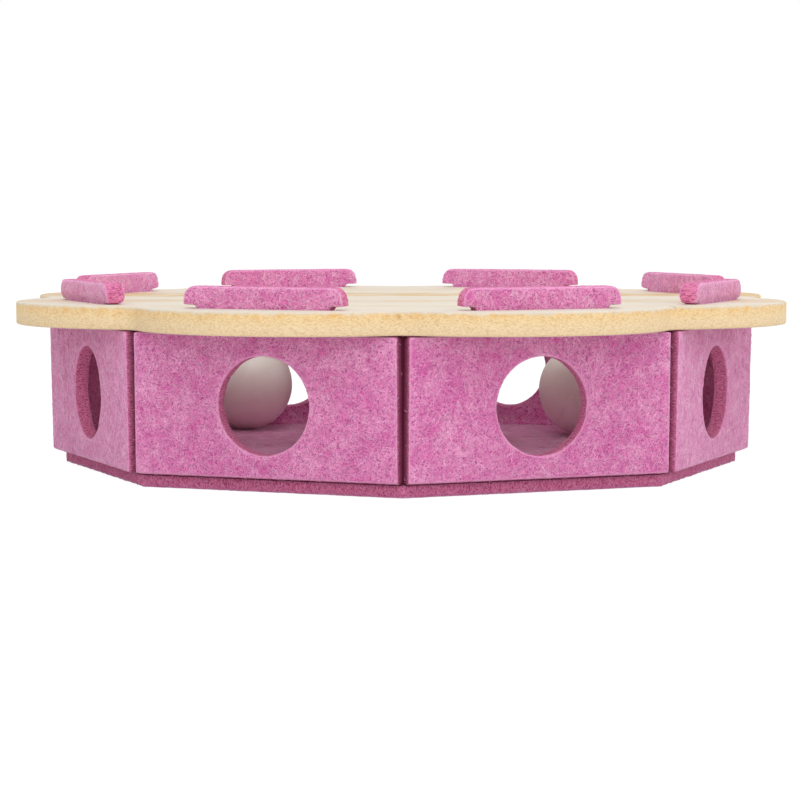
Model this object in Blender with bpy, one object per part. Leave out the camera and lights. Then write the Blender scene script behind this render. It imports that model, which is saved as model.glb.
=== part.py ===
# Felt cat activity mat: a felt tray with folded-up walls, locked by tabs into a plywood lid, with two play balls.
# Units are metres. +Z is up, the floor is z = 0 and the middle of the mat is the origin.

import math

import bmesh
import bpy

MM = 0.001

# Felt tray: one sheet, half cut along eight folds and folded up
WALL_COUNT = 8
FELT_THICKNESS = 6.0 * MM
FLOOR_APOTHEM = 128.2 * MM  # from the middle of the floor to a fold
WALL_HEIGHT = 53.0 * MM  # from the fold to the wall's shoulders, which carry the lid
WALL_LEAN = math.radians(1.08)  # the felt springs outwards a little at the fold
SIDE_HOLE_DIAMETER = 36.7 * MM

# Locking tab on top of each wall: a neck through the lid and a wider head above it
NECK_WIDTH = 53.6 * MM
HEAD_EAR = 4.5 * MM  # how far the head stands out past each side of the neck
HEAD_HEIGHT = 6.5 * MM
HEAD_CORNER = 3.5 * MM
EAR_GAP = 1.9 * MM  # play between the lid's top and the ears

# Plywood lid: eight petals with rounded notches between them
LID_THICKNESS = 8.8 * MM
LID_OVERHANG = 25.6 * MM  # from a wall's outer face, at its top, to the tip of a petal
NOTCH_DEPTH = 16.2 * MM  # from the tip of a petal in to the floor of a notch
NOTCH_FILLET = 12.0 * MM
SLOT_END_CLEARANCE = 1.95 * MM
SLOT_SIDE_CLEARANCE = 0.75 * MM
SLOT_CORNER = 1.5 * MM

# Round play openings in the lid, each in line with a notch
LID_HOLE_COUNT = 4
LID_HOLE_DIAMETER = 60.0 * MM
LID_HOLE_TO_NOTCH = 36.8 * MM  # wood between an opening and the floor of its notch

# Play balls, lying loose on the floor
BALL_DIAMETER = 40.0 * MM
BALL_PLACE_SHARES = [(-0.631, 0.795), (0.743, 0.504)]  # x and y, of the room between the middle and a fold

# Gap between pieces that touch
SEAT_GAP = 0.3 * MM

# How finely the round shapes are cut
HOLE_POINT_COUNT = 36
PETAL_POINT_COUNT = 17
NOTCH_POINT_COUNT = 7
CORNER_POINT_COUNT = 4
BALL_RING_COUNT = 16
BALL_SEGMENT_COUNT = 32

# Heights, and places measured outwards from the middle, that follow from the sizes above
STEP_ANGLE = 2 * math.pi / WALL_COUNT
HALF_STEP = STEP_ANGLE / 2
FOLD_HEIGHT = FELT_THICKNESS + SEAT_GAP
LID_UNDERSIDE = FOLD_HEIGHT + WALL_HEIGHT + SEAT_GAP
LID_TOP = LID_UNDERSIDE + LID_THICKNESS
EAR_HEIGHT = LID_TOP + EAR_GAP - FOLD_HEIGHT  # up the wall, from the fold to the ears
WALL_TOP_OUTSIDE = FLOOR_APOTHEM + FELT_THICKNESS + WALL_HEIGHT * math.sin(WALL_LEAN)
PETAL_TIP = WALL_TOP_OUTSIDE + LID_OVERHANG
NOTCH_FLOOR = PETAL_TIP - NOTCH_DEPTH
NECK_MIDDLE = (
    FLOOR_APOTHEM
    + FELT_THICKNESS / 2 * math.cos(WALL_LEAN)
    + (LID_UNDERSIDE + LID_THICKNESS / 2 - FOLD_HEIGHT) * math.sin(WALL_LEAN)
)

FELT = {"name": "pink_felt", "colour": (0.53, 0.13, 0.33), "roughness": 0.95}
PLYWOOD = {"name": "pale_plywood", "colour": (0.80, 0.68, 0.48), "roughness": 0.7}
PLASTIC = {"name": "white_plastic", "colour": (0.85, 0.84, 0.82), "roughness": 0.45}


def clear_scene():
    for obj in list(bpy.data.objects):
        bpy.data.objects.remove(obj)


def material(finish):
    made = bpy.data.materials.new(finish["name"])
    made.use_nodes = True
    shader = made.node_tree.nodes["Principled BSDF"]
    shader.inputs["Base Color"].default_value = (*finish["colour"], 1)
    shader.inputs["Roughness"].default_value = finish["roughness"]
    shader.inputs["Metallic"].default_value = 0
    return made


def arc(centre, radius, start, end, count):
    """Points on an arc from one angle to another, both ends included."""
    angles = [start + (end - start) * i / (count - 1) for i in range(count)]
    return [(centre[0] + radius * math.cos(a), centre[1] + radius * math.sin(a)) for a in angles]


def circle(centre, radius, count):
    return arc(centre, radius, 0, 2 * math.pi, count + 1)[:-1]


def turned(points, angle):
    """Points turned about the middle of the mat."""
    c, s = math.cos(angle), math.sin(angle)
    return [(c * x - s * y, s * x + c * y) for x, y in points]


def add_plate(name, outline, holes, thickness, finish):
    """A flat sheet, cut to an outline with holes, centred on its own mid plane."""
    sheet = bpy.data.curves.new(name, "CURVE")
    sheet.dimensions = "2D"
    sheet.fill_mode = "BOTH"
    sheet.extrude = thickness / 2
    for loop in [outline, *holes]:
        spline = sheet.splines.new("POLY")
        spline.points.add(len(loop) - 1)
        for point, (x, y) in zip(spline.points, loop):
            point.co = (x, y, 0, 1)
        spline.use_cyclic_u = True
    sheet.materials.append(finish)
    plate = bpy.data.objects.new(name, sheet)
    bpy.context.collection.objects.link(plate)
    return plate


def add_floor(felt):
    """The tray's floor: an octagon, with a corner towards -Y, whose edges are the folds."""
    corner = FLOOR_APOTHEM / math.cos(HALF_STEP)
    floor = add_plate("floor_panel", circle((0, 0), corner, WALL_COUNT), [], FELT_THICKNESS, felt)
    floor.location.z = FELT_THICKNESS / 2


def add_fold_line(number, azimuth):
    """An empty on a fold: its X runs along the fold, its Y up the wall and its Z out of it."""
    fold = bpy.data.objects.new(f"fold_line_{number}", None)
    fold.location = (
        FLOOR_APOTHEM * math.cos(azimuth),
        FLOOR_APOTHEM * math.sin(azimuth),
        FOLD_HEIGHT,
    )
    fold.rotation_euler = (math.pi / 2 + WALL_LEAN, 0, math.pi / 2 + azimuth)
    bpy.context.collection.objects.link(fold)
    return fold


def wall_outline():
    """A wall with its neck, in the fold's own X and Y."""
    half_wall = FLOOR_APOTHEM * math.tan(HALF_STEP) - SEAT_GAP / 2 / math.cos(HALF_STEP)
    half_neck = NECK_WIDTH / 2
    neck_top = EAR_HEIGHT - SEAT_GAP
    right = [(half_wall, 0), (half_wall, WALL_HEIGHT), (half_neck, WALL_HEIGHT), (half_neck, neck_top)]
    left = [(-x, y) for x, y in reversed(right)]
    return right + left


def head_outline():
    """The tab's head: a bar whose two upper corners are round."""
    half_head = NECK_WIDTH / 2 + HEAD_EAR
    middle = (half_head - HEAD_CORNER, HEAD_HEIGHT - HEAD_CORNER)
    right = [(half_head, 0), *arc(middle, HEAD_CORNER, 0, math.pi / 2, CORNER_POINT_COUNT + 1)]
    left = [(-x, y) for x, y in reversed(right)]
    return right + left


def add_walls(felt):
    hole = circle((0, WALL_HEIGHT / 2), SIDE_HOLE_DIAMETER / 2, HOLE_POINT_COUNT)
    for number in range(1, WALL_COUNT + 1):
        fold = add_fold_line(number, (number - 0.5) * STEP_ANGLE)
        wall = add_plate(f"wall_flap_{number}", wall_outline(), [hole], FELT_THICKNESS, felt)
        head = add_plate(f"tab_head_{number}", head_outline(), [], FELT_THICKNESS, felt)
        for piece, height in ((wall, 0), (head, EAR_HEIGHT)):
            piece.parent = fold
            piece.location = (0, height, FELT_THICKNESS / 2)


def lid_outline():
    """Petals joined by rounded notches. The petal's arc is the one that meets both named depths."""
    fillet_middle = NOTCH_FLOOR + NOTCH_FILLET
    across = fillet_middle * math.cos(HALF_STEP)
    petal_radius = (fillet_middle**2 + PETAL_TIP**2 - 2 * across * PETAL_TIP - NOTCH_FILLET**2) / (
        2 * (NOTCH_FILLET + PETAL_TIP - across)
    )
    petal_middle = PETAL_TIP - petal_radius
    meeting = math.atan2(fillet_middle * math.sin(HALF_STEP), across - petal_middle)
    petal = arc((petal_middle, 0), petal_radius, -meeting, meeting, PETAL_POINT_COUNT)
    notch_middle = (across, fillet_middle * math.sin(HALF_STEP))
    notch = arc(
        notch_middle, NOTCH_FILLET, meeting + math.pi, STEP_ANGLE - meeting + math.pi, NOTCH_POINT_COUNT
    )
    loop = []
    for number in range(WALL_COUNT):
        loop += turned(petal + notch[1:-1], (number + 0.5) * STEP_ANGLE)
    return loop


def slot_outline():
    """The slot that a neck passes through, on the +X side of the middle."""
    half_width = FELT_THICKNESS / 2 + SLOT_SIDE_CLEARANCE
    half_length = NECK_WIDTH / 2 + SLOT_END_CLEARANCE
    corner_x, corner_y = half_width - SLOT_CORNER, half_length - SLOT_CORNER
    points = []
    for quarter, (side_x, side_y) in enumerate([(1, 1), (-1, 1), (-1, -1), (1, -1)]):
        middle = (NECK_MIDDLE + side_x * corner_x, side_y * corner_y)
        start = quarter * math.pi / 2
        points += arc(middle, SLOT_CORNER, start, start + math.pi / 2, CORNER_POINT_COUNT)
    return points


def add_lid(plywood):
    cuts = [turned(slot_outline(), (number + 0.5) * STEP_ANGLE) for number in range(WALL_COUNT)]
    hole_radius = LID_HOLE_DIAMETER / 2
    hole_ring = NOTCH_FLOOR - LID_HOLE_TO_NOTCH - hole_radius
    for number in range(LID_HOLE_COUNT):
        azimuth = (number + 0.5) * 2 * math.pi / LID_HOLE_COUNT
        cuts.append(turned(circle((hole_ring, 0), hole_radius, HOLE_POINT_COUNT), azimuth))
    lid = add_plate("lid_panel", lid_outline(), cuts, LID_THICKNESS, plywood)
    lid.location.z = LID_UNDERSIDE + LID_THICKNESS / 2


def add_ball(number, place_share, plastic):
    shape = bmesh.new()
    bmesh.ops.create_uvsphere(
        shape, u_segments=BALL_SEGMENT_COUNT, v_segments=BALL_RING_COUNT, radius=BALL_DIAMETER / 2
    )
    mesh = bpy.data.meshes.new(f"play_ball_{number}")
    shape.to_mesh(mesh)
    shape.free()
    mesh.shade_smooth()
    mesh.materials.append(plastic)
    ball = bpy.data.objects.new(f"play_ball_{number}", mesh)
    room = FLOOR_APOTHEM - BALL_DIAMETER / 2
    ball.location = (
        place_share[0] * room,
        place_share[1] * room,
        FELT_THICKNESS + SEAT_GAP + BALL_DIAMETER / 2,
    )
    bpy.context.collection.objects.link(ball)


clear_scene()
pink_felt = material(FELT)
white_plastic = material(PLASTIC)
add_floor(pink_felt)
add_walls(pink_felt)
add_lid(material(PLYWOOD))
for ball_number, ball_place_share in enumerate(BALL_PLACE_SHARES, start=1):
    add_ball(ball_number, ball_place_share, white_plastic)
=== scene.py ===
# Looks of the felt cat activity mat: pressed felt walls and floor, a bare plywood lid and two hollow balls.
import math

import bmesh
import bpy
from mathutils import Euler, Matrix, Vector


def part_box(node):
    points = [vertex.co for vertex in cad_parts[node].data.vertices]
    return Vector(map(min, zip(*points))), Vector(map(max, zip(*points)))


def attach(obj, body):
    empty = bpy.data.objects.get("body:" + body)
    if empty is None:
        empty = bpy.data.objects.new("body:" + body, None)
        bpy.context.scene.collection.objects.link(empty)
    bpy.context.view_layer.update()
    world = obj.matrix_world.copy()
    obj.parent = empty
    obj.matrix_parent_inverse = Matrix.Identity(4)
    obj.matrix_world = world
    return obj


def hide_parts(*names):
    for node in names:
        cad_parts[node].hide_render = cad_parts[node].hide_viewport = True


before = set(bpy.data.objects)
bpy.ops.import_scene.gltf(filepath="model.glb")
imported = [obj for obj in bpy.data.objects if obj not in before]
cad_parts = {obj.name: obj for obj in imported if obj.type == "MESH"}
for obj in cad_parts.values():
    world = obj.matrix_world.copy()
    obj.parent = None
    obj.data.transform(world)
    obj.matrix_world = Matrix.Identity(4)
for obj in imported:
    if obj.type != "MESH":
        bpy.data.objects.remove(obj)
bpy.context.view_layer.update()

floorLow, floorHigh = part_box("floor_panel")
lidLow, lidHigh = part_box("lid_panel")
mm = 0.001


# Turns a colour's hex code to linear, and leaves any other value as it is
def hexToLinear(value):
    if not (isinstance(value, str) and value.startswith("#")):
        return value
    parts = [int(value[i:i + 2], 16) / 255 for i in (1, 3, 5)]
    return (*[c / 12.92 if c <= 0.04045 else ((c + 0.055) / 1.055) ** 2.4 for c in parts], 1)


# Adds a node. A key in small letters is a setting of the node, and any other is an input, which takes a
# value, a colour's hex code, an output, or a node, whose first output it then takes
def addNode(tree, kind, settings=None):
    node = tree.nodes.new(kind)
    for key, value in (settings or {}).items():
        if isinstance(key, str) and key[0].islower():
            setattr(node, key, value)
        elif isinstance(value, bpy.types.Node):
            tree.links.new(value.outputs[0], node.inputs[key])
        elif isinstance(value, bpy.types.NodeSocket):
            tree.links.new(value, node.inputs[key])
        else:
            node.inputs[key].default_value = hexToLinear(value)
    return node


def newMaterial(name):
    material = bpy.data.materials.new(name)
    material.use_nodes = True
    material.node_tree.nodes.clear()
    return material, material.node_tree


# The end that every material has
def finishMaterial(tree, settings):
    shader = addNode(tree, "ShaderNodeBsdfPrincipled", settings)
    addNode(tree, "ShaderNodeOutputMaterial", {0: shader})


# Gives a colour ramp its stops, from pairs of a position and a colour
def fillRamp(ramp, stops):
    elements = ramp.color_ramp.elements
    while len(elements) < len(stops):
        elements.new(0.5)
    for element, (position, colour) in zip(elements, stops):
        element.position = position
        element.color = hexToLinear(colour)


# A geometry tree with its inputs: sizes are plain numbers, and each of the others has its kind. An input
# is named as the value that it takes
def newTree(name, sizes, others):
    tree = bpy.data.node_groups.new(name, "GeometryNodeTree")
    tree.interface.new_socket("Geometry", in_out="INPUT", socket_type="NodeSocketGeometry")
    for label, kind in {**dict.fromkeys(sizes, "Float"), **others}.items():
        tree.interface.new_socket(label, in_out="INPUT", socket_type=f"NodeSocket{kind}")
    tree.interface.new_socket("Geometry", in_out="OUTPUT", socket_type="NodeSocketGeometry")
    return tree, addNode(tree, "NodeGroupInput").outputs


# The end that every tree has: one material, and a second one on some faces if the piece has two
def finishTree(tree, geometry, material, someFaces=None, secondMaterial=None):
    smooth = addNode(tree, "GeometryNodeSetShadeSmooth", {0: geometry})
    solid = addNode(tree, "GeometryNodeRealizeInstances", {0: smooth})
    painted = addNode(tree, "GeometryNodeSetMaterial", {0: solid, "Material": material})
    if someFaces:
        settings = {0: painted, "Selection": someFaces, "Material": secondMaterial}
        painted = addNode(tree, "GeometryNodeSetMaterial", settings)
    addNode(tree, "NodeGroupOutput", {0: painted})


# Of the values, only those that the tree has inputs for are used
def useTree(piece, tree, values):
    modifier = piece.modifiers.new(tree.name, "NODES")
    modifier.node_group = tree
    for item in tree.interface.items_tree:
        if item.item_type == "SOCKET" and item.in_out == "INPUT" and item.name in values:
            modifier[item.identifier] = values[item.name]


def toPlainMesh(piece):
    graph = bpy.context.evaluated_depsgraph_get()
    mesh = bpy.data.meshes.new_from_object(
        piece.evaluated_get(graph), preserve_all_data_layers=True, depsgraph=graph
    )
    piece.modifiers.clear()
    piece.data = mesh
    mesh.name = piece.name


def newPiece(name, data):
    piece = bpy.data.objects.new(name, data)
    bpy.context.scene.collection.objects.link(piece)
    return piece


# Camera: a little above the table, close in, as in the photograph
camera = {
    "place": (-0.0057, -1.1, 0.1081),  # metres
    "turn": (85.714, 0.0, -0.275),  # degrees
    "lens": 119.53,  # on a 36 mm sensor
    "sensor": 36.0,
}


def addCamera():
    data = bpy.data.cameras.new("photoCamera")
    data.lens = camera["lens"]
    data.sensor_width = camera["sensor"]
    data.clip_start = 0.01
    view = newPiece("photoCamera", data)
    view.location = camera["place"]
    view.rotation_euler = [math.radians(a) for a in camera["turn"]]
    bpy.context.scene.camera = view


# Studio: a white tent, brightened by soft lamps in front, overhead, at the right and behind
studio = {
    "white": "#FFFFFF",
    "tentLevel": 0.65,
    "floorColour": "#E9E8E6",
    "floorSize": 12.0,  # metres
    "floorWhitening": 0.86,  # how far the camera sees the floor washed out to white
    "floorGlow": 1.12,
    "lamps": [  # name, place in metres, size in metres, watts
        ("highLamp", (0.1, -1.2, 1.6), 1.0, 7.6),
        ("lowLamp", (0.0, -2.1, 0.85), 0.8, 6.6),
        ("topLamp", (0.0, 0.1, 1.9), 1.6, 5.2),
        ("rightLamp", (2.0, 0.3, 0.6), 1.0, 6.2),
        ("backLamp", (0.4, 2.0, 1.0), 1.4, 2.0),
    ],
}


# 1 where the camera sees a surface, straight or in a reflection, and 0 where it only gives light
def backgroundShare(tree):
    rays = addNode(tree, "ShaderNodeLightPath").outputs
    share = rays["Is Camera Ray"]
    for other in ("Is Glossy Ray", "Is Transmission Ray"):
        settings = {"operation": "ADD", "use_clamp": True, 0: share, 1: rays[other]}
        share = addNode(tree, "ShaderNodeMath", settings)
    return share


def addStudio():
    world = bpy.data.worlds.new("whiteTent")
    bpy.context.scene.world = world
    world.use_nodes = True
    tree = world.node_tree
    tree.nodes.clear()
    white = studio["white"]
    light = addNode(tree, "ShaderNodeBackground", {"Color": white, "Strength": studio["tentLevel"]})
    backdrop = addNode(tree, "ShaderNodeBackground", {"Color": white, "Strength": 1.0})
    mixed = addNode(tree, "ShaderNodeMixShader", {0: backgroundShare(tree), 1: light, 2: backdrop})
    addNode(tree, "ShaderNodeOutputWorld", {0: mixed})

    for name, place, size, watts in studio["lamps"]:
        lamp = bpy.data.lights.new(name, "AREA")
        lamp.size = size
        lamp.energy = watts
        shone = newPiece(name, lamp)
        shone.location = place
        shone.rotation_euler = (-Vector(place)).to_track_quat("-Z", "Y").to_euler()

    half = studio["floorSize"] / 2
    corners = [(-half, -half, 0), (half, -half, 0), (half, half, 0), (-half, half, 0)]
    mesh = bpy.data.meshes.new("studioFloor")
    mesh.from_pydata(corners, [], [(0, 1, 2, 3)])
    material, tree = newMaterial("studioFloor")
    matt = addNode(tree, "ShaderNodeBsdfDiffuse", {"Color": studio["floorColour"]})
    glow = addNode(tree, "ShaderNodeEmission", {"Color": white, "Strength": studio["floorGlow"]})
    settings = {"operation": "MULTIPLY", 0: backgroundShare(tree), 1: studio["floorWhitening"]}
    share = addNode(tree, "ShaderNodeMath", settings)
    mixed = addNode(tree, "ShaderNodeMixShader", {0: share, 1: matt, 2: glow})
    addNode(tree, "ShaderNodeOutputMaterial", {0: mixed})
    mesh.materials.append(material)
    newPiece("studioFloor", mesh)


addCamera()
addStudio()
bpy.context.scene.view_settings.view_transform = "Standard"
print("camera, lamps and floor in place")

# Pressed polyester felt, dyed in the fibre: matt and mottled, with dark pinholes between the fibres of its
# skin, a pale bloom where one looks along it, and a painted highlight along its arrises. Where the die cut
# it, it is a warmer pink and open grained, and too few fibres stand off it to give the bloom. Shade is
# painted deep in its corner grooves and under the walls
felt = {
    # painted highlight along the arrises
    "magenta": "#E56DB4",
    "paler": "#FEAFDB",
    "pinhole": "#A43883",
    "arris": "#F8B0DA",
    "cutFace": "#EC8CB6",
    "cutPore": "#B04C7A",
    # painted shade for the corner grooves and the crease under the walls
    "paintedGrooveShade": "#5E1430",  # deep in the corner grooves
    "mottleSize": 9.0,  # mm
    "pinholeSize": 0.75,  # mm, coarser than the 0.1 mm gaps between the fibres so that it shows
    "poreSize": 0.4,  # mm
    "poreStretch": 2.5,  # times longer through the sheet than across it
    "bumpDepth": 0.15,  # mm
    "roughness": 0.95,
    "sheen": 0.7,
    "cutSheen": 0.06,
    "sheenTint": "#FCE8F4",
}


# The felt and its fibres have hardly any gloss, and this tints their bloom
feltShine = {"Specular IOR Level": 0.2, "Sheen Roughness": 0.5, "Sheen Tint": felt["sheenTint"]}


# Object coordinates counted in millimetres
def inMillimetres(tree, scale=(1, 1, 1)):
    place = addNode(tree, "ShaderNodeTexCoord").outputs["Object"]
    return addNode(tree, "ShaderNodeMapping", {0: place, "Scale": [c / mm for c in scale]})


def makeFelt(name, sheen):
    material, tree = newMaterial(name)
    place = inMillimetres(tree)
    settings = {0: place, "Scale": 1 / felt["mottleSize"], "Detail": 5.0, "Roughness": 0.68}
    mottle = addNode(tree, "ShaderNodeTexNoise", settings)
    settings = {"interpolation_type": "SMOOTHSTEP", 0: mottle, "From Min": 0.3, "From Max": 0.7}
    palerShare = addNode(tree, "ShaderNodeMapRange", settings)
    settings = {0: place, "Scale": 1 / felt["pinholeSize"], "Detail": 2.0, "Distortion": 1.5}
    pinhole = addNode(tree, "ShaderNodeTexNoise", settings)
    settings = {0: pinhole, "From Min": 0.54, "From Max": 0.38, "To Max": 0.9}
    pinholeShare = addNode(tree, "ShaderNodeMapRange", settings)

    # faceness is 1 on a sheet's two faces, 0 where it was cut and between them on its arrises
    faceness = addNode(tree, "ShaderNodeAttribute", {"attribute_name": "faceness"}).outputs["Fac"]
    # A painted highlight along the arrises, between a face and a cut
    rising = addNode(tree, "ShaderNodeMapRange", {0: faceness, "From Min": 0.3, "From Max": 0.65})
    settings = {0: faceness, "From Min": 1.0, "From Max": 0.85, "To Max": 0.6}
    falling = addNode(tree, "ShaderNodeMapRange", settings)
    arrisHighlightShare = addNode(tree, "ShaderNodeMath", {"operation": "MULTIPLY", 0: rising, 1: falling})
    cutShare = addNode(tree, "ShaderNodeMapRange", {0: faceness, "From Min": 0.55, "From Max": 0.2})

    # sheetPlace is where a point lay in the flat sheet, so that the pores run through the sheet
    fine = 1 / (felt["poreSize"] * mm)
    flat = addNode(tree, "ShaderNodeAttribute", {"attribute_name": "sheetPlace"}).outputs["Vector"]
    settings = {0: flat, "Scale": (fine, fine, fine / felt["poreStretch"])}
    stretched = addNode(tree, "ShaderNodeMapping", settings)
    pore = addNode(tree, "ShaderNodeTexNoise", {0: stretched, "Scale": 1.0, "Detail": 3.0})
    poreShare = addNode(tree, "ShaderNodeMapRange", {0: pore, "From Min": 0.58, "From Max": 0.36})
    settings = {"data_type": "RGBA", 0: poreShare, 6: felt["cutFace"], 7: felt["cutPore"]}
    cut = addNode(tree, "ShaderNodeMix", settings)
    # Painted shade, stored by the skin tree in the corner grooves and under the walls
    groove = addNode(tree, "ShaderNodeAttribute", {"attribute_name": "groove"}).outputs["Fac"]

    # Each colour covers those before it, as far as its share goes: the arris colour is a painted highlight
    # and the groove colour painted shade
    colour = felt["magenta"]
    for share, over in (
        (palerShare, felt["paler"]),
        (pinholeShare, felt["pinhole"]),
        (arrisHighlightShare, felt["arris"]),
        (cutShare, cut.outputs[2]),
        (groove, felt["paintedGrooveShade"]),
    ):
        settings = {"data_type": "RGBA", 0: share, 6: colour, 7: over}
        colour = addNode(tree, "ShaderNodeMix", settings).outputs[2]
    rough = addNode(tree, "ShaderNodeMix", {"data_type": "FLOAT", 0: cutShare, 2: pinhole, 3: pore})
    settings = {"Strength": 0.8, "Distance": felt["bumpDepth"] * mm, "Height": rough}
    bump = addNode(tree, "ShaderNodeBump", settings)
    settings = {"Base Color": colour, "Roughness": felt["roughness"], "Sheen Weight": sheen, "Normal": bump}
    finishMaterial(tree, {**settings, **feltShine})
    return material


# Single polyester fibres on the felt's skin, bent and a little shiny, from its own pink to nearly white
looseFibre = {
    "colours": [(0.0, "#C860A6"), (0.35, "#E68AC1"), (0.75, "#F6AEDA"), (1.0, "#FFDEF0")],
    "roughness": 0.7,
    "sheen": 0.6,
}


def makeLooseFibre():
    material, tree = newMaterial("feltFibre")
    shade = addNode(tree, "ShaderNodeAttribute", {"attribute_name": "fibreShade"}).outputs["Fac"]
    ramp = addNode(tree, "ShaderNodeValToRGB", {0: shade})
    fillRamp(ramp, looseFibre["colours"])
    settings = {"Base Color": ramp, "Roughness": looseFibre["roughness"]}
    finishMaterial(tree, {**settings, "Sheen Weight": looseFibre["sheen"], **feltShine})
    return material


# Softwood plywood, sanded and left bare: a cream face with golden late wood in long, wavy, broken bands, and
# a sawn edge that is warmer, open grained and most golden in patches just below the arris
plywood = {
    "cream": "#EBE2D0",
    "grey": "#DBD1C4",
    "gold": "#D4A962",
    "edgeColours": [  # up the edge, as shares of its height
        (0.0, "#F0D8AE"), (0.3, "#F6DFB6"), (0.6, "#F8DEAE"), (0.85, "#F8D9A2"), (1.0, "#F8DBA6"),
    ],
    "edgePore": "#CC9856",
    "edgeGold": "#EEB666",  # in patches along the upper plies
    "patchSize": 3.5,  # mm
    "bands": [  # across the grain, from front to back: mm from the middle, share of gold
        (-160, 0.04), (-104, 0.05), (-100, 0.20), (-88, 0.18), (-83, 0.04), (-58, 0.05), (-52, 0.42),
        (-28, 0.46), (-22, 0.06), (8, 0.08), (15, 0.90), (48, 0.85), (54, 0.10), (76, 0.08),
        (82, 0.28), (106, 0.26), (112, 0.05), (160, 0.05),
    ],
    "bandSway": 26.0,  # mm
    "bandRun": 90.0,  # mm along the grain between two sways
    "bandCrossing": 1.6,  # times quicker across the grain
    "wobble": 12.0,  # mm, a quicker sway on top
    "wobbleRun": 16.0,  # mm
    "fadeRun": 26.0,  # mm along a band from where it shows to where it fades
    "streakWidth": 0.9,  # mm
    "streakRun": 45.0,  # mm
    "poreSize": 0.45,  # mm, coarser than the 0.05 mm pores so that it shows
    "poreRun": 1.1,  # mm along the edge
    "worn": 0.7,  # mm down from the top where the sander has paled the arris
    "wornSway": 2.8,  # mm
    "wornRun": 3.6,  # mm along the edge between two sways
    "marks": [  # a pin knot and two scorched nicks: x, y in mm, share of the height, size in mm, strength
        (101.6, -100.8, 1.0, 1.8, 0.85), (13.5, -147.0, 0.08, 2.4, 0.4), (-1.6, -144.8, 0.8, 1.5, 0.3),
    ],
    "markColour": "#8A5A34",
    "bumpDepth": 0.10,  # mm
    "roughness": 0.62,
}


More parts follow.
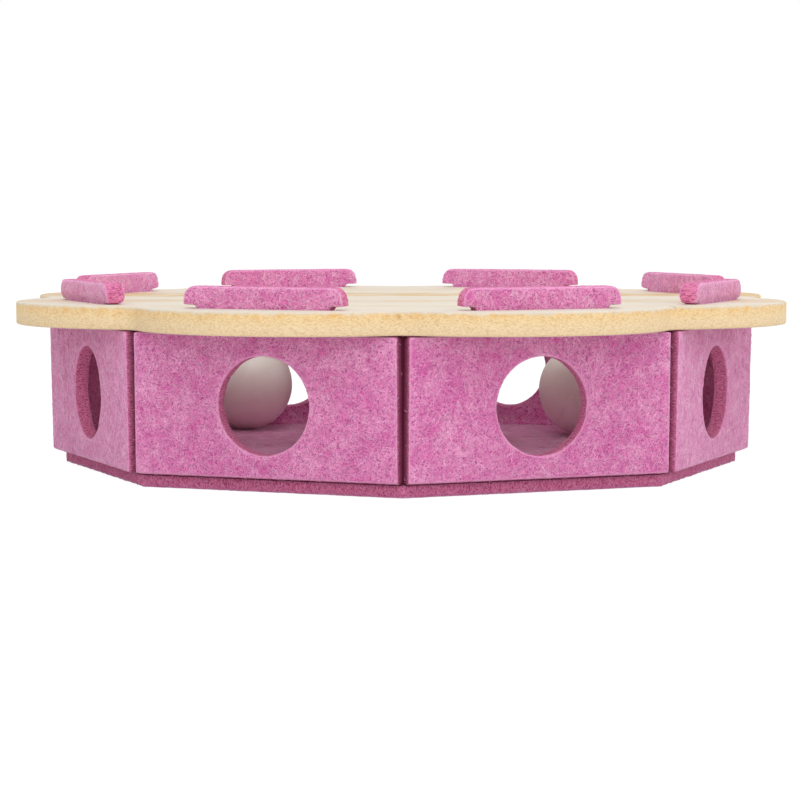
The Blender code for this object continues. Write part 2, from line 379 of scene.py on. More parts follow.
def makePlywood():
    material, tree = newMaterial("sandedPlywood")
    place = inMillimetres(tree)
    across = addNode(tree, "ShaderNodeSeparateXYZ", {0: place})

    # For each noise, how quickly it changes along the grain, across it and up, its detail and its roughness
    slow, quick, porePace = (1 / plywood[run] for run in ("bandRun", "wobbleRun", "poreRun"))
    noises = {}
    for name, pace, detail, roughness in (
        ("sway", (slow, slow * plywood["bandCrossing"], 0), 2.0, 0.45),
        ("wobble", (quick, quick, 0), 2.0, 0.5),
        ("fade", (1 / plywood["fadeRun"], quick, 0), 2.0, 0.5),
        ("streak", (1 / plywood["streakRun"], 0.5 / plywood["streakWidth"], 0.5), 4.0, 0.6),
        ("pore", (porePace, porePace, 1 / plywood["poreSize"]), 3.0, 0.7),
        ("patch", [1 / plywood["patchSize"]] * 3, 4.0, 0.65),
        ("wave", [1 / plywood["wornRun"]] * 3, 3.0, 0.5),
    ):
        settings = {0: inMillimetres(tree, pace), "Scale": 1.0, "Detail": detail, "Roughness": roughness}
        noises[name] = addNode(tree, "ShaderNodeTexNoise", settings)

    # The late wood's bands sway, fade and are streaked
    bandPlace = across.outputs[1]
    for name, reach in (("sway", plywood["bandSway"]), ("wobble", plywood["wobble"])):
        settings = {"operation": "MULTIPLY_ADD", 0: noises[name], 1: reach, 2: bandPlace}
        bandPlace = addNode(tree, "ShaderNodeMath", settings)
    middleSway = (plywood["bandSway"] + plywood["wobble"]) / 2
    first, last = plywood["bands"][0][0], plywood["bands"][-1][0]
    settings = {0: bandPlace, "From Min": first + middleSway, "From Max": last + middleSway}
    bandShare = addNode(tree, "ShaderNodeMapRange", settings)
    bands = addNode(tree, "ShaderNodeValToRGB", {0: bandShare})
    stops = [((at - first) / (last - first), (gold, gold, gold, 1)) for at, gold in plywood["bands"]]
    fillRamp(bands, stops)
    settings = {0: noises["fade"], "From Min": 0.36, "From Max": 0.6, "To Min": 0.3, "To Max": 1.2}
    faded = addNode(tree, "ShaderNodeMapRange", settings)
    bands = addNode(tree, "ShaderNodeMath", {"operation": "MULTIPLY", 0: bands, 1: faded})
    settings = {"clamp": False, 0: noises["streak"], "From Min": 0.3, "From Max": 0.7}
    streaked = addNode(tree, "ShaderNodeMapRange", {**settings, "To Min": 0.45, "To Max": 1.35})
    settings = {"operation": "MULTIPLY", "use_clamp": True, 0: bands, 1: streaked}
    goldShare = addNode(tree, "ShaderNodeMath", settings)
    settings = {0: noises["streak"], "From Min": 0.3, "From Max": 0.7}
    greyShare = addNode(tree, "ShaderNodeMapRange", settings)

    # The sawn edge, with gold in patches along its upper plies
    settings = {0: across.outputs[2], "From Min": lidLow.z / mm, "From Max": lidHigh.z / mm}
    height = addNode(tree, "ShaderNodeMapRange", settings)
    edge = addNode(tree, "ShaderNodeValToRGB", {0: height})
    fillRamp(edge, plywood["edgeColours"])
    settings = {0: noises["pore"], "From Min": 0.55, "From Max": 0.36, "To Max": 0.5}
    poreShare = addNode(tree, "ShaderNodeMapRange", settings)
    settings = {0: noises["patch"], "From Min": 0.46, "From Max": 0.66, "To Max": 0.65}
    patched = addNode(tree, "ShaderNodeMapRange", settings)
    upper = addNode(tree, "ShaderNodeMapRange", {0: height, "From Min": 0.45, "From Max": 0.9})
    patchShare = addNode(tree, "ShaderNodeMath", {"operation": "MULTIPLY", 0: patched, 1: upper})
    for share, over in ((patchShare, "edgeGold"), (poreShare, "edgePore")):
        settings = {"data_type": "RGBA", 0: share, 6: edge, 7: plywood[over]}
        edge = addNode(tree, "ShaderNodeMix", settings).outputs[2]

    # The edge's colour ends in a wavy line near the top, where the sander rounded the arris
    normal = addNode(tree, "ShaderNodeTexCoord").outputs["Normal"]
    facing = addNode(tree, "ShaderNodeSeparateXYZ", {0: normal})
    upright = addNode(tree, "ShaderNodeMath", {"operation": "ABSOLUTE", 0: facing.outputs[2]})
    sideShare = addNode(tree, "ShaderNodeMapRange", {0: upright, "From Min": 0.95, "From Max": 0.6})
    settings = {"operation": "MULTIPLY_ADD", 0: noises["wave"], 1: plywood["wornSway"], 2: across.outputs[2]}
    waved = addNode(tree, "ShaderNodeMath", settings)
    wornTop = lidHigh.z / mm + plywood["wornSway"] / 2
    settings = {0: waved, "From Min": wornTop, "From Max": wornTop - 2 * plywood["worn"]}
    belowTop = addNode(tree, "ShaderNodeMapRange", settings)
    edgeShare = addNode(tree, "ShaderNodeMath", {"operation": "MULTIPLY", 0: sideShare, 1: belowTop})

    # Each colour covers those before it, as far as its share goes
    layers = [(greyShare, plywood["grey"]), (goldShare, plywood["gold"]), (edgeShare, edge)]
    for markX, markY, heightShare, size, strength in plywood["marks"]:
        middle = (markX, markY, (lidLow.z + heightShare * (lidHigh.z - lidLow.z)) / mm)
        far = addNode(tree, "ShaderNodeVectorMath", {"operation": "DISTANCE", 0: place, 1: middle})
        settings = {0: far.outputs["Value"], "From Min": size, "From Max": size / 4, "To Max": strength}
        layers.append((addNode(tree, "ShaderNodeMapRange", settings), plywood["markColour"]))
    colour = plywood["cream"]
    for share, over in layers:
        settings = {"data_type": "RGBA", 0: share, 6: colour, 7: over}
        colour = addNode(tree, "ShaderNodeMix", settings).outputs[2]
    settings = {"data_type": "FLOAT", 0: edgeShare, 2: noises["streak"], 3: noises["pore"]}
    rough = addNode(tree, "ShaderNodeMix", settings)
    settings = {"Strength": 0.7, "Distance": plywood["bumpDepth"] * mm, "Height": rough}
    bump = addNode(tree, "ShaderNodeBump", settings)
    settings = {"Base Color": colour, "Roughness": plywood["roughness"], "Normal": bump}
    finishMaterial(tree, {**settings, "Specular IOR Level": 0.35})
    return material


# White polypropylene, blow moulded and frosted: matt, with faint cloudy scuffs
ballPlastic = {
    "white": "#FAF5EE",
    "scuff": "#EEE6DE",
    "scuffSize": 7.0,  # mm
    "roughness": 0.42,
    "ior": 1.49,
    "glow": 0.85,  # share of the light that comes through the thin wall
    "glowReach": 14.0,  # mm
    "bumpDepth": 0.03,  # mm
}


def makeBallPlastic():
    material, tree = newMaterial("mouldedPolypropylene")
    settings = {0: inMillimetres(tree), "Scale": 1 / ballPlastic["scuffSize"], "Detail": 5.0}
    cloud = addNode(tree, "ShaderNodeTexNoise", settings)
    settings = {"data_type": "RGBA", 0: cloud, 6: ballPlastic["white"], 7: ballPlastic["scuff"]}
    colour = addNode(tree, "ShaderNodeMix", settings)
    settings = {"Strength": 0.4, "Distance": ballPlastic["bumpDepth"] * mm, "Height": cloud}
    finishMaterial(
        tree,
        {
            "Base Color": colour.outputs[2],
            "Roughness": ballPlastic["roughness"],
            "IOR": ballPlastic["ior"],
            "Subsurface Weight": ballPlastic["glow"],
            "Subsurface Radius": (1.0, 1.0, 1.0),
            "Subsurface Scale": ballPlastic["glowReach"] * mm,
            "Normal": addNode(tree, "ShaderNodeBump", settings),
        },
    )
    return material


pressedFelt = makeFelt("pressedFelt", felt["sheen"])
dieCutFelt = makeFelt("dieCutFelt", felt["cutSheen"])
feltFibre = makeLooseFibre()
sandedPlywood = makePlywood()
mouldedPolypropylene = makeBallPlastic()
print("materials made")


# Points of an arc, both ends included
def arc(centre, radius, start, end, count):
    angles = [start + (end - start) * i / (count - 1) for i in range(count)]
    return [(centre[0] + radius * math.cos(a), centre[1] + radius * math.sin(a)) for a in angles]


# Points of a circle
def ring(centre, radius, count):
    return arc(centre, radius, 0, 2 * math.pi, count + 1)[:-1]


# A sheet cut along flat loops, from z = 0 up to its thickness
def cutSheet(name, loops, thickness):
    outline = bpy.data.curves.new(name, "CURVE")
    outline.dimensions = "2D"
    outline.fill_mode = "BOTH"
    outline.extrude = thickness / 2
    for loop in loops:
        spline = outline.splines.new("POLY")
        spline.points.add(len(loop) - 1)
        for point, (x, y) in zip(spline.points, loop):
            point.co = (x, y, 0, 1)
        spline.use_cyclic_u = True
    drawn = newPiece("drawn_" + name, outline)
    graph = bpy.context.evaluated_depsgraph_get()
    mesh = bpy.data.meshes.new_from_object(drawn.evaluated_get(graph))
    mesh.transform(Matrix.Translation((0, 0, thickness / 2)))
    bpy.data.objects.remove(drawn)
    return newPiece(name, mesh)


# The felt's skin: softened arrises, and lumps where the fibre lies thicker
feltSkin = {
    "softening": 3,  # rounds of smoothing at the cut arrises
    "lumpHeight": 0.25 * mm,
    "lumpSize": 7.0 * mm,
    "napHeight": 0.16 * mm,
    "napSize": 1.3 * mm,
    "swellRise": 3.0 * mm,  # up a tab from where it starts to swell to where it is thickest
}


# Nothing reaches below a level, such as that of the table
def keptAbove(tree, geometry, level):
    place = addNode(tree, "ShaderNodeSeparateXYZ", {0: addNode(tree, "GeometryNodeInputPosition")})
    height = addNode(tree, "ShaderNodeMath", {"operation": "MAXIMUM", 0: place.outputs[2], 1: level})
    kept = addNode(tree, "ShaderNodeCombineXYZ", {0: place.outputs[0], 1: place.outputs[1], 2: height})
    return addNode(tree, "GeometryNodeSetPosition", {0: geometry, "Position": kept})


def makeSkinTree():
    sizes = ["lumpHeight", "lumpSize", "napHeight", "napSize", "thickness", "halfWidth", "crease"]
    sizes += ["swellFoot", "swellRise", "swell", "lowest", "seed"]
    tree, inputs = newTree("feltSkin", sizes, {"material": "Material", "cutMaterial": "Material"})
    normal = addNode(tree, "GeometryNodeInputNormal")
    position = addNode(tree, "GeometryNodeInputPosition")
    place = addNode(tree, "ShaderNodeSeparateXYZ", {0: position})
    facing = addNode(tree, "ShaderNodeSeparateXYZ", {0: normal})
    upright = addNode(tree, "ShaderNodeMath", {"operation": "ABSOLUTE", 0: facing.outputs[2]})

    # Painted shade in the grooves at the corners and under the wall, strongest at the sheet's inner face
    aside = addNode(tree, "ShaderNodeMath", {"operation": "ABSOLUTE", 0: place.outputs[0]})
    settings = {"operation": "GREATER_THAN", 0: aside, 1: inputs["halfWidth"]}
    atEnd = addNode(tree, "ShaderNodeMath", settings)
    settings = {"operation": "LESS_THAN", 0: place.outputs[1], 1: inputs["crease"]}
    below = addNode(tree, "ShaderNodeMath", settings)
    inPaintedShade = addNode(tree, "ShaderNodeMath", {"operation": "MAXIMUM", 0: atEnd, 1: below})
    settings = {0: place.outputs[2], "From Min": inputs["thickness"], "From Max": 0.0, "To Max": 1.6}
    depth = addNode(tree, "ShaderNodeMapRange", settings)
    groove = addNode(tree, "ShaderNodeMath", {"operation": "MULTIPLY", 0: inPaintedShade, 1: depth})

    # What the felt's material reads
    marked = inputs[0]
    marks = [("faceness", "FLOAT", upright), ("sheetPlace", "FLOAT_VECTOR", position)]
    for label, kind, value in marks + [("groove", "FLOAT", groove)]:
        settings = {"data_type": kind, 0: marked, "Name": label, "Value": value}
        marked = addNode(tree, "GeometryNodeStoreNamedAttribute", settings)

    # Above its slot a tab is free to swell
    settings = {"operation": "SUBTRACT", 0: place.outputs[1], 1: inputs["swellFoot"]}
    overFoot = addNode(tree, "ShaderNodeMath", settings)
    settings = {"interpolation_type": "SMOOTHSTEP", 0: overFoot, "From Max": inputs["swellRise"]}
    swell = addNode(tree, "ShaderNodeMapRange", {**settings, "To Max": inputs["swell"]})
    middle = addNode(tree, "ShaderNodeMath", {"operation": "MULTIPLY", 0: inputs["thickness"], 1: 0.5})
    settings = {"operation": "SUBTRACT", 0: place.outputs[2], 1: middle}
    offMiddle = addNode(tree, "ShaderNodeMath", settings)
    out = addNode(tree, "ShaderNodeMath", {"operation": "MULTIPLY", 0: offMiddle, 1: swell})
    shift = addNode(tree, "ShaderNodeCombineXYZ", {2: out})
    shaped = addNode(tree, "GeometryNodeSetPosition", {0: marked, "Offset": shift})
    for height, size in (("lumpHeight", "lumpSize"), ("napHeight", "napSize")):
        scale = addNode(tree, "ShaderNodeMath", {"operation": "DIVIDE", 0: 1.0, 1: inputs[size]})
        settings = {"noise_dimensions": "4D", "W": inputs["seed"], "Scale": scale, "Detail": 1.0}
        bumps = addNode(tree, "ShaderNodeTexNoise", settings)
        level = addNode(tree, "ShaderNodeMath", {"operation": "SUBTRACT", 0: bumps, 1: 0.5})
        lift = addNode(tree, "ShaderNodeMath", {"operation": "MULTIPLY", 0: level, 1: inputs[height]})
        shift = addNode(tree, "ShaderNodeVectorMath", {"operation": "SCALE", 0: normal, "Scale": lift})
        shaped = addNode(tree, "GeometryNodeSetPosition", {0: shaped, "Offset": shift})
    # Where shade is painted, the felt takes the cut material too, which has almost no bloom
    skinShare = addNode(tree, "ShaderNodeMath", {"operation": "SUBTRACT", 0: upright, 1: groove})
    isCut = addNode(tree, "ShaderNodeMath", {"operation": "LESS_THAN", 0: skinShare, 1: 0.5})
    shaped = keptAbove(tree, shaped, inputs["lowest"])
    finishTree(tree, shaped, inputs["material"], isCut, inputs["cutMaterial"])
    return tree


# Fibres that lie on the skin, each bent its own way, a few with their ends standing off it
fibre = {
    "length": 2.7 * mm,
    "width": 0.16 * mm,  # a clump of finer fibres
    "bend": 0.22,  # share of its length
    "looseLift": 0.28 * mm,
    "looseShare": 0.03,
    "paintedTabHighlight": 0.15,  # painted highlight: added to the fibres' shade on a tab to make it lighter
}


def makeFibreTree():
    sizes = ["density", "innerDensity", "cutDensity", "length", "width", "bend", "looseLift", "looseShare"]
    sizes += ["tabFoot", "paintedTabHighlight", "lowest"]
    tree, inputs = newTree("feltFibres", sizes, {"seed": "Int", "material": "Material"})
    skin = inputs[0]
    place = addNode(tree, "ShaderNodeSeparateXYZ", {0: addNode(tree, "GeometryNodeInputPosition")})
    facing = addNode(tree, "ShaderNodeSeparateXYZ", {0: addNode(tree, "GeometryNodeInputNormal")})
    settings = {"operation": "GREATER_THAN", 0: place.outputs[1], 1: inputs["tabFoot"]}
    onTab = addNode(tree, "ShaderNodeMath", settings)
    settings = {"operation": "GREATER_THAN", 0: facing.outputs[2], 1: -0.5}
    outside = addNode(tree, "ShaderNodeMath", settings)
    shown = addNode(tree, "ShaderNodeMath", {"operation": "MAXIMUM", 0: onTab, 1: outside})
    settings = {"data_type": "FLOAT", 0: shown, 2: inputs["innerDensity"], 3: inputs["density"]}
    density = addNode(tree, "ShaderNodeMix", settings)
    faceness = addNode(tree, "GeometryNodeInputNamedAttribute", {"Name": "faceness"})
    uncut = addNode(tree, "ShaderNodeMapRange", {0: faceness, "From Min": 0.2, "From Max": 0.6})
    settings = {"data_type": "FLOAT", 0: uncut, 2: inputs["cutDensity"], 3: density}
    density = addNode(tree, "ShaderNodeMix", settings)
    # No fibres lie where shade is painted in the grooves
    groove = addNode(tree, "GeometryNodeInputNamedAttribute", {"Name": "groove"})
    settings = {"operation": "SUBTRACT", "use_clamp": True, 0: 1.0, 1: groove}
    ungrooved = addNode(tree, "ShaderNodeMath", settings)
    density = addNode(tree, "ShaderNodeMath", {"operation": "MULTIPLY", 0: density, 1: ungrooved})
    settings = {"Mesh": skin, "Density": density, "Seed": inputs["seed"]}
    roots = addNode(tree, "GeometryNodeDistributePointsOnFaces", settings)
    settings = {"mode": "POINTS", "Resolution": 3, "Start": (-0.5, 0, 0), "Middle": (0, 0.5, 0)}
    strand = addNode(tree, "GeometryNodeCurveArc", {**settings, "End": (0.5, 0, 0)})
    draws = {}
    ranges = {"length": (0.5, 1.5), "bend": (-1.0, 1.0), "spin": (0.0, 2 * math.pi)}
    ranges |= {"shade": (0.0, 1.0), "loose": (0.0, 1.0)}
    for step, (label, (low, high)) in enumerate(ranges.items(), start=1):
        seed = addNode(tree, "ShaderNodeMath", {"operation": "ADD", 0: inputs["seed"], 1: float(step)})
        draws[label] = addNode(tree, "FunctionNodeRandomValue", {2: low, 3: high, "Seed": seed}).outputs[1]

    # Fibres are cut short on the die-cut faces
    settings = {0: faceness, "From Min": 0.1, "From Max": 0.8, "To Min": 0.35}
    whole = addNode(tree, "ShaderNodeMapRange", settings)
    length, bend = draws["length"], draws["bend"]
    for factor in (inputs["length"], whole):
        length = addNode(tree, "ShaderNodeMath", {"operation": "MULTIPLY", 0: length, 1: factor})
    for factor in (inputs["bend"], length):
        bend = addNode(tree, "ShaderNodeMath", {"operation": "MULTIPLY", 0: bend, 1: factor})
    size = addNode(tree, "ShaderNodeCombineXYZ", {0: length, 1: bend, 2: 1.0})
    settings = {"Points": roots, "Instance": strand, "Rotation": roots.outputs["Rotation"], "Scale": size}
    laid = addNode(tree, "GeometryNodeInstanceOnPoints", settings)
    spin = addNode(tree, "ShaderNodeCombineXYZ", {2: draws["spin"]})
    laid = addNode(tree, "GeometryNodeRotateInstances", {0: laid, "Rotation": spin})
    # Painted highlight: fibres on a tab are made paler
    settings = {"operation": "MULTIPLY_ADD", 0: onTab, 1: inputs["paintedTabHighlight"], 2: draws["shade"]}
    shade = addNode(tree, "ShaderNodeMath", settings)
    settings = {"operation": "LESS_THAN", 0: draws["loose"], 1: inputs["looseShare"]}
    isLoose = addNode(tree, "FunctionNodeCompare", {"data_type": "FLOAT", **settings})
    for label, value in (("fibreShade", shade), ("loose", isLoose)):
        settings = {"domain": "INSTANCE", 0: laid, "Name": label, "Value": value}
        laid = addNode(tree, "GeometryNodeStoreNamedAttribute", settings)
    curves = addNode(tree, "GeometryNodeRealizeInstances", {0: laid})

    # Each point drops onto the skin below it, and the ends of the loose ones rise again
    nearest = addNode(tree, "GeometryNodeProximity", {"target_element": "FACES", 0: skin})
    settings = {"data_type": "FLOAT_VECTOR", 0: skin, "Value": addNode(tree, "GeometryNodeInputNormal")}
    outwards = addNode(tree, "GeometryNodeSampleNearestSurface", settings)
    along = addNode(tree, "GeometryNodeSplineParameter")
    fromMiddle = addNode(tree, "ShaderNodeMapRange", {0: along, "To Min": -1.0, "To Max": 1.0})
    rise = addNode(tree, "ShaderNodeMath", {"operation": "POWER", 0: fromMiddle, 1: 2.0})
    loose = addNode(tree, "GeometryNodeInputNamedAttribute", {"Name": "loose"})
    for factor in (loose, inputs["looseLift"]):
        rise = addNode(tree, "ShaderNodeMath", {"operation": "MULTIPLY", 0: rise, 1: factor})
    lifted = addNode(tree, "ShaderNodeVectorMath", {"operation": "SCALE", 0: outwards, "Scale": rise})
    curves = addNode(tree, "GeometryNodeSetPosition", {0: curves, "Position": nearest, "Offset": lifted})
    radius = addNode(tree, "ShaderNodeMath", {"operation": "MULTIPLY", 0: inputs["width"], 1: 0.5})
    settings = {"mode": "RADIUS", "Resolution": 3, "Radius": radius}
    profile = addNode(tree, "GeometryNodeCurvePrimitiveCircle", settings)
    settings = {0: curves, "Profile Curve": profile, "Fill Caps": True}
    strands = addNode(tree, "GeometryNodeCurveToMesh", settings)
    finishTree(tree, keptAbove(tree, strands, inputs["lowest"]), inputs["material"])
    return tree


skinTree = makeSkinTree()
fibreTree = makeFibreTree()


# Turns a cut sheet into felt, adds its fibres and puts both in their place. The limits say where its tab and
# the painted shade of its grooves begin, and how low it may reach
def feltPiece(sheet, settings, seed, limits, place):
    remesh = sheet.modifiers.new("even grain", "REMESH")
    remesh.mode = "VOXEL"
    remesh.voxel_size = settings["grain"]
    soften = sheet.modifiers.new("soft arrises", "SMOOTH")
    soften.iterations = feltSkin["softening"]
    values = {**feltSkin, **limits, "thickness": flap["thickness"], "seed": float(seed)}
    useTree(sheet, skinTree, {**values, "material": pressedFelt, "cutMaterial": dieCutFelt})
    toPlainMesh(sheet)
    fibres = newPiece(sheet.name + "_fibres", sheet.data.copy())
    values = {**fibre, **settings, **limits, "seed": seed * 10, "material": feltFibre}
    useTree(fibres, fibreTree, values)
    toPlainMesh(fibres)
    for piece in (sheet, fibres):
        piece.data.transform(place)
        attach(piece, "tray")
        print(piece.name, "faces:", len(piece.data.polygons))


# Eight flaps, folded up: each has a paw hole and a T-shaped tab
flap = {
    "count": 8,
    "thickness": floorHigh.z - floorLow.z,
    "gap": 0.3 * mm,
    "lean": math.radians(1.08),
    "wallHeight": 53.0 * mm,
    "holeDiameter": 36.7 * mm,
    "neckWidth": 53.6 * mm,
    "ear": 5.4 * mm,  # a little long, because softening the arrises draws it in
    "earPlay": 1.9 * mm,
    "headHeight": 6.5 * mm,
    "headCorner": 4.5 * mm,
    "sagging": [0.9, 0.4, 0.4, 0.9, 1.5, 0.5, 0.5, 1.5],  # mm that each tab's ears droop towards the lid
    "swelling": [0.1, 0.0, 0.0, 0.1, 0.3, 0.03, 0.03, 0.25],  # share that each tab is thicker above its slot
    "foldSkin": 0.4 * mm,  # how far the flaps and the floor press into each other
    "uncutAcross": (-0.6 * mm, 1.6 * mm),  # the felt left uncut along a fold, from the wall's inner face out
    "uncutUp": (-1.6 * mm, 0.8 * mm),  # from below the fold to above it
    "squeeze": 1.0 * mm,  # how far a flap's inner edge goes into the next flap
    "squeezeDepth": 2.0 * mm,
    "holePoints": 96,
    "cornerPoints": 9,
    "grain": 0.7 * mm,
    "density": 1.1 / mm**2,  # of the fibres
    "innerDensity": 0.36 / mm**2,  # on the inner face, below the tab
    "cutDensity": 0.08 / mm**2,
}
stepAngle = 2 * math.pi / flap["count"]
apothem = floorHigh.y * math.cos(stepAngle / 2)
foldHeight = floorHigh.z + flap["gap"]
halfWall = apothem * math.tan(stepAngle / 2) + flap["foldSkin"] / 2
foot = -flap["gap"] - flap["foldSkin"] / 2


def flapLoops(number):
    halfNeck = flap["neckWidth"] / 2
    halfHead = halfNeck + flap["ear"]
    earHeight = lidHigh.z + flap["earPlay"] - foldHeight
    top = earHeight + flap["headHeight"]
    droop = earHeight - flap["sagging"][number - 1] * mm
    corner = flap["headCorner"]
    right = [(halfWall, foot), (halfWall, flap["wallHeight"]), (halfNeck, flap["wallHeight"])]
    right += [(halfNeck, droop), (halfHead, droop)]
    right += arc((halfHead - corner, top - corner), corner, 0, math.pi / 2, flap["cornerPoints"])
    outline = right + [(-x, y) for x, y in reversed(right)]
    return [outline, ring((0, flap["wallHeight"] / 2), flap["holeDiameter"] / 2, flap["holePoints"])]


# What shuts a flap's edges: the felt left uncut along its fold, and at each corner its squeezed inner edge
def shutEdges(wall):
    shape = bmesh.new()
    shape.from_mesh(wall.data)
    deep = flap["squeezeDepth"]
    spans = [((-halfWall, halfWall), flap["uncutUp"], flap["uncutAcross"])]
    for side in (-1, 1):
        edge = sorted([side * (halfWall - deep), side * (halfWall + flap["squeeze"])])
        spans.append((edge, (0, flap["wallHeight"]), (0, deep)))
    for span in spans:
        middle = Matrix.Translation([(low + high) / 2 for low, high in span])
        size = Matrix.Diagonal([high - low for low, high in span] + [1])
        bmesh.ops.create_cube(shape, size=1.0, matrix=middle @ size)
    shape.to_mesh(wall.data)
    shape.free()


def makeFlaps():
    for number in range(1, flap["count"] + 1):
        azimuth = (number - 0.5) * stepAngle
        turn = Euler((math.pi / 2 + flap["lean"], 0, math.pi / 2 + azimuth)).to_matrix().to_4x4()
        fold = Matrix.Translation((apothem * math.cos(azimuth), apothem * math.sin(azimuth), foldHeight))
        wall = cutSheet(f"felt_wall_{number}", flapLoops(number), flap["thickness"])
        shutEdges(wall)
        # Past halfWidth and below crease, shade is painted into the grooves
        limits = {
            "halfWidth": halfWall - flap["grain"],
            "crease": foot - flap["grain"] / 2,
            "tabFoot": flap["wallHeight"],
            "swellFoot": lidHigh.z - foldHeight + flap["earPlay"] - feltSkin["swellRise"] / 2,
            "swell": flap["swelling"][number - 1],
            "lowest": -foldHeight,
        }
        feltPiece(wall, flap, number, limits, fold @ turn)
        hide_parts(f"wall_flap_{number}", f"tab_head_{number}")


# The tray's floor: an octagon with a corner towards the front
octagon = {
    "grain": 1.3 * mm,
    "density": 0.16 / mm**2,  # of the fibres
    "innerDensity": 0.01 / mm**2,  # on the underside
    "cutDensity": 0.8 / mm**2,
}


def makeFloor():
    corner = (apothem + flap["foldSkin"]) / math.cos(stepAngle / 2)
    floor = cutSheet("felt_floor", [ring((0, 0), corner, flap["count"])], flap["thickness"])
    out = 2 * corner  # past the floor's rim, which has no tab and no corner grooves
    limits = {"halfWidth": out, "crease": -out, "tabFoot": out, "swellFoot": out}
    limits |= {"swell": 0.0, "lowest": 0.0}
    feltPiece(floor, octagon, flap["count"] + 1, limits, Matrix.Translation((0, 0, floorLow.z)))
    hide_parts("floor_panel")


makeFlaps()
makeFloor()

# The lid: petals joined by rounded notches, a slot over each wall and four round openings
lid = {
    "petals": flap["count"],
    "overhang": 25.6 * mm,  # past the outside of a wall's top
    "notchDepth": 16.2 * mm,
    "notchFillet": 12.0 * mm,
    "thickness": lidHigh.z - lidLow.z,
    "slotWidth": 7.5 * mm,
    "slotLength": 57.5 * mm,
    "slotCorner": 1.5 * mm,
    "slotCornerPoints": 5,
    "openings": 4,
    "openingDiameter": 60.0 * mm,
    "openingToNotch": 36.8 * mm,
    "openingPoints": 120,
    "arris": 0.7 * mm,
    "arrisSteps": 4,
    "petalPoints": 96,
}


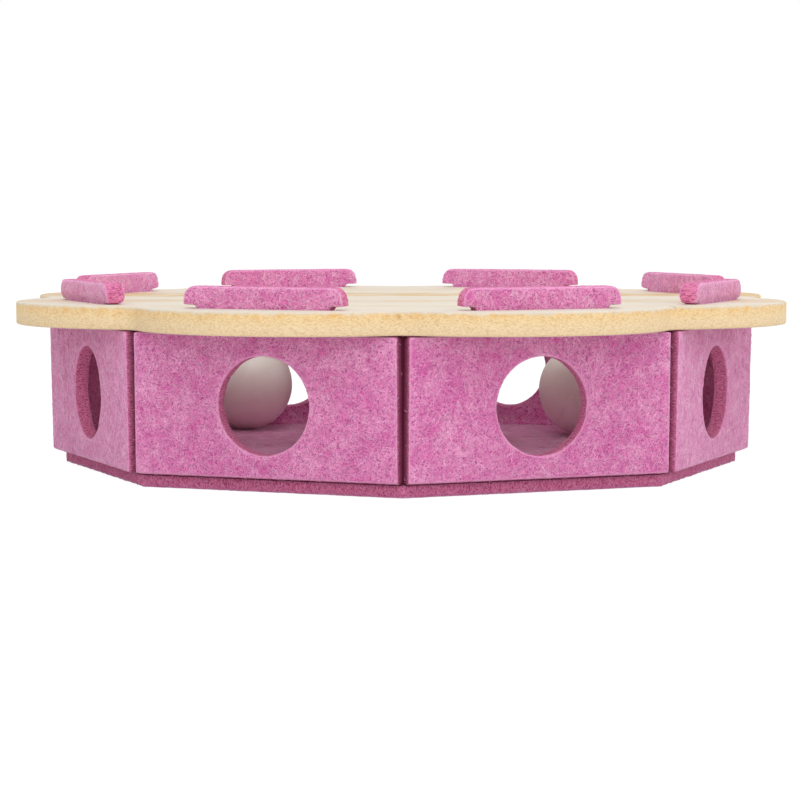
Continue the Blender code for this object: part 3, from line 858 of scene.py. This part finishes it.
def makeLidTree():
    sizes = ["petalRadius", "petalMiddle", "notchFillet", "notchMiddle", "notchReach", "thickness", "arris"]
    sizes += ["slotWidth", "slotLength", "slotCorner", "slotRing", "openingRadius", "openingRing"]
    others = dict.fromkeys(["petals", "petalPoints", "openings", "openingPoints", "slotCornerPoints"], "Int")
    tree, inputs = newTree("petalLid", sizes, {**others, "material": "Material"})

    # Round the middle, each point stands as far out as its petal or its notch reaches in that direction
    settings = {"operation": "MULTIPLY", 0: inputs["petals"], 1: inputs["petalPoints"]}
    pointCount = addNode(tree, "ShaderNodeMath", settings)
    unitRing = addNode(tree, "GeometryNodeCurvePrimitiveCircle", {"Resolution": pointCount, "Radius": 1.0})
    index = addNode(tree, "GeometryNodeInputIndex")
    turns = addNode(tree, "ShaderNodeMath", {"operation": "DIVIDE", 0: index, 1: pointCount})
    angle = addNode(tree, "ShaderNodeMath", {"operation": "MULTIPLY", 0: turns, 1: 2 * math.pi})
    halfStep = addNode(tree, "ShaderNodeMath", {"operation": "DIVIDE", 0: math.pi, 1: inputs["petals"]})
    fromNotch = addNode(tree, "ShaderNodeMath", {"operation": "PINGPONG", 0: angle, 1: halfStep})
    fromTip = addNode(tree, "ShaderNodeMath", {"operation": "SUBTRACT", 0: halfStep, 1: fromNotch})

    # Where a line at an angle from straight ahead meets a circle whose middle is straight ahead
    def reach(turn, middle, radius, side):
        sine = addNode(tree, "ShaderNodeMath", {"operation": "SINE", 0: turn})
        cosine = addNode(tree, "ShaderNodeMath", {"operation": "COSINE", 0: turn})
        ahead = addNode(tree, "ShaderNodeMath", {"operation": "MULTIPLY", 0: middle, 1: cosine})
        aside = addNode(tree, "ShaderNodeMath", {"operation": "MULTIPLY", 0: middle, 1: sine})
        asideSquare = addNode(tree, "ShaderNodeMath", {"operation": "MULTIPLY", 0: aside, 1: aside})
        square = addNode(tree, "ShaderNodeMath", {"operation": "MULTIPLY", 0: radius, 1: radius})
        left = addNode(tree, "ShaderNodeMath", {"operation": "SUBTRACT", 0: square, 1: asideSquare})
        chord = addNode(tree, "ShaderNodeMath", {"operation": "SQRT", 0: left})
        return addNode(tree, "ShaderNodeMath", {"operation": "MULTIPLY_ADD", 0: chord, 1: side, 2: ahead})

    onPetal = reach(fromTip, inputs["petalMiddle"], inputs["petalRadius"], 1.0)
    inNotch = reach(fromNotch, inputs["notchMiddle"], inputs["notchFillet"], -1.0)
    settings = {"operation": "LESS_THAN", 0: fromNotch, 1: inputs["notchReach"]}
    isNotch = addNode(tree, "ShaderNodeMath", settings)
    far = addNode(tree, "ShaderNodeMix", {"data_type": "FLOAT", 0: isNotch, 2: onPetal, 3: inNotch})
    onRing = addNode(tree, "GeometryNodeInputPosition")
    place = addNode(tree, "ShaderNodeVectorMath", {"operation": "SCALE", 0: onRing, "Scale": far})
    outline = addNode(tree, "GeometryNodeSetPosition", {0: unitRing, "Position": place})

    # A cut, repeated round the middle, and run the other way so that its wood is outside
    def cutRound(cut, count, out):
        shift = addNode(tree, "ShaderNodeCombineXYZ", {0: out})
        moved = addNode(tree, "GeometryNodeTransform", {0: cut, "Translation": shift})
        points = addNode(tree, "GeometryNodePoints", {"Count": count})
        middle = addNode(tree, "ShaderNodeMath", {"operation": "ADD", 0: index, 1: 0.5})
        step = addNode(tree, "ShaderNodeMath", {"operation": "DIVIDE", 0: 2 * math.pi, 1: count})
        azimuth = addNode(tree, "ShaderNodeMath", {"operation": "MULTIPLY", 0: middle, 1: step})
        turn = addNode(tree, "ShaderNodeCombineXYZ", {2: azimuth})
        settings = {"Points": points, "Instance": moved, "Rotation": turn}
        copies = addNode(tree, "GeometryNodeInstanceOnPoints", settings)
        real = addNode(tree, "GeometryNodeRealizeInstances", {0: copies})
        return addNode(tree, "GeometryNodeReverseCurve", {0: real})

    settings = {"Width": inputs["slotWidth"], "Height": inputs["slotLength"]}
    slot = addNode(tree, "GeometryNodeCurvePrimitiveQuadrilateral", settings)
    settings = {"mode": "POLY", 0: slot, "Count": inputs["slotCornerPoints"], "Radius": inputs["slotCorner"]}
    slot = addNode(tree, "GeometryNodeFilletCurve", settings)
    settings = {"Resolution": inputs["openingPoints"], "Radius": inputs["openingRadius"]}
    opening = addNode(tree, "GeometryNodeCurvePrimitiveCircle", settings)
    loops = addNode(tree, "GeometryNodeJoinGeometry", {0: outline})
    for cut, count, out in ((slot, "petals", "slotRing"), (opening, "openings", "openingRing")):
        tree.links.new(cutRound(cut, inputs[count], inputs[out]).outputs[0], loops.inputs[0])

    # Each loop is the rim of the top face, drawn in by the arris
    tangent = addNode(tree, "GeometryNodeInputTangent")
    settings = {"operation": "CROSS_PRODUCT", 0: tangent, 1: (0, 0, 1)}
    away = addNode(tree, "ShaderNodeVectorMath", settings)
    settings = {"data_type": "FLOAT_VECTOR", 0: loops, "Name": "away", "Value": away}
    marked = addNode(tree, "GeometryNodeStoreNamedAttribute", settings)
    settings = {"data_type": "FLOAT_VECTOR", "Name": "away"}
    outwards = addNode(tree, "GeometryNodeInputNamedAttribute", settings)

    # A move outwards and up
    def move(out, up):
        sideways = addNode(tree, "ShaderNodeVectorMath", {"operation": "SCALE", 0: outwards, "Scale": out})
        upwards = addNode(tree, "ShaderNodeCombineXYZ", {2: up})
        return addNode(tree, "ShaderNodeVectorMath", {"operation": "ADD", 0: sideways, 1: upwards})

    drawnIn = addNode(tree, "ShaderNodeMath", {"operation": "MULTIPLY", 0: inputs["arris"], 1: -1.0})
    settings = {0: marked, "Offset": move(drawnIn, inputs["thickness"])}
    inset = addNode(tree, "GeometryNodeSetPosition", settings)
    flat = addNode(tree, "GeometryNodeFillCurve", {"mode": "NGONS", 0: inset})
    bottom = addNode(tree, "GeometryNodeFlipFaces", {0: flat})
    thick = addNode(tree, "ShaderNodeCombineXYZ", {2: inputs["thickness"]})
    top = addNode(tree, "GeometryNodeTransform", {0: flat, "Translation": thick})

    # The rim then grows down the sheet in steps: round the top arris, straight down, round the bottom arris
    angles = [math.pi / 2 * i / lid["arrisSteps"] for i in range(lid["arrisSteps"] + 1)]
    bow = [(math.sin(a), math.cos(a)) for a in angles]
    rounding = [(b[0] - a[0], b[1] - a[1]) for a, b in zip(bow, bow[1:])]
    moves = []
    for steps in rounding + [(-out, up) for out, up in reversed(rounding)]:
        pair = [{"operation": "MULTIPLY", 0: inputs["arris"], 1: share} for share in steps]
        moves.append([addNode(tree, "ShaderNodeMath", settings) for settings in pair])
    straight = addNode(tree, "ShaderNodeMath", {"operation": "MULTIPLY", 0: inputs["arris"], 1: 2.0})
    settings = {"operation": "SUBTRACT", 0: straight, 1: inputs["thickness"]}
    moves.insert(lid["arrisSteps"], (0.0, addNode(tree, "ShaderNodeMath", settings)))
    grown = {0: addNode(tree, "GeometryNodeCurveToMesh", {0: inset})}
    for out, up in moves:
        step = addNode(tree, "GeometryNodeExtrudeMesh", {"mode": "EDGES", **grown, "Offset": move(out, up)})
        grown = {0: step, "Selection": step.outputs["Top"]}
    plate = addNode(tree, "GeometryNodeJoinGeometry", {0: top})
    for part in (bottom, step):
        tree.links.new(part.outputs[0], plate.inputs[0])
    closed = addNode(tree, "GeometryNodeMergeByDistance", {0: plate, "Distance": 0.01 * mm})
    finishTree(tree, closed, inputs["material"])
    return tree


def makeLid():
    # The petal's arc is the one that meets both the tip and the notches' fillets
    wallTop = apothem + flap["thickness"] + flap["wallHeight"] * math.sin(flap["lean"])
    tip, fillet = wallTop + lid["overhang"], lid["notchFillet"]
    notchFloor = tip - lid["notchDepth"]
    notchMiddle = notchFloor + fillet
    across = notchMiddle * math.cos(stepAngle / 2)
    petalRadius = (notchMiddle**2 + tip**2 - 2 * across * tip - fillet**2) / (2 * (fillet + tip - across))
    petalMiddle = tip - petalRadius
    meeting = math.atan2(notchMiddle * math.sin(stepAngle / 2), across - petalMiddle)
    petalReach = math.atan2(petalRadius * math.sin(meeting), petalMiddle + petalRadius * math.cos(meeting))
    upToMiddle = (lidLow.z + lidHigh.z) / 2 - foldHeight
    neckMiddle = flap["thickness"] / 2 * math.cos(flap["lean"]) + upToMiddle * math.sin(flap["lean"])
    openingRadius = lid["openingDiameter"] / 2
    values = {
        "petalRadius": petalRadius,
        "petalMiddle": petalMiddle,
        "notchMiddle": notchMiddle,
        "notchReach": stepAngle / 2 - petalReach,
        "slotRing": apothem + neckMiddle,
        "openingRadius": openingRadius,
        "openingRing": notchFloor - lid["openingToNotch"] - openingRadius,
        "material": sandedPlywood,
    }
    panel = newPiece("plywood_lid", bpy.data.meshes.new("plywood_lid"))
    useTree(panel, makeLidTree(), {**lid, **values})
    toPlainMesh(panel)
    shape = bmesh.new()
    shape.from_mesh(panel.data)
    bmesh.ops.recalc_face_normals(shape, faces=shape.faces)
    shape.to_mesh(panel.data)
    shape.free()
    panel.data.transform(Matrix.Translation((0, 0, lidLow.z)))
    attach(panel, "lid")
    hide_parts("lid_panel")
    print("plywood lid points:", len(panel.data.vertices))


makeLid()

# Hollow balls, blow moulded in two halves: a fine seam runs round each
ball = {
    "seamDepth": 0.12 * mm,
    "seamWidth": 0.5 * mm,
    "rings": 72,
    "sides": 128,
    "seamTurn": (62.0, 0.0, 35.0),  # degrees
}


def makeBall(number, body):
    low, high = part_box(f"play_ball_{number}")
    radius = (high.z - low.z) / 2
    shape = bmesh.new()
    half = []  # a half circle from pole to pole
    for i in range(ball["rings"] + 1):
        share = 2 * i / ball["rings"] - 1
        latitude = math.pi / 2 * (0.35 * share + 0.65 * share**3)  # rings crowd towards the seam
        groove = ball["seamDepth"] * math.exp(-((radius * latitude / ball["seamWidth"]) ** 2))
        far = radius - groove
        half.append(shape.verts.new((far * math.cos(latitude), 0, far * math.sin(latitude))))
    edges = [shape.edges.new(pair) for pair in zip(half, half[1:])]
    bmesh.ops.spin(
        shape, geom=half + edges, axis=(0, 0, 1), cent=(0, 0, 0), angle=2 * math.pi, steps=ball["sides"]
    )
    bmesh.ops.remove_doubles(shape, verts=shape.verts, dist=0.001 * mm)
    bmesh.ops.recalc_face_normals(shape, faces=shape.faces)
    piece = newPiece(f"hollow_ball_{number}", bpy.data.meshes.new(f"hollow_ball_{number}"))
    shape.to_mesh(piece.data)
    shape.free()
    turn = Euler([math.radians(a) * number for a in ball["seamTurn"]]).to_matrix().to_4x4()
    piece.data.transform(Matrix.Translation((low + high) / 2) @ turn)
    piece.data.shade_smooth()
    piece.data.materials.append(mouldedPolypropylene)
    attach(piece, body)
    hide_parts(f"play_ball_{number}")


makeBall(1, "left_ball")
makeBall(2, "right_ball")
print("balls: 2")
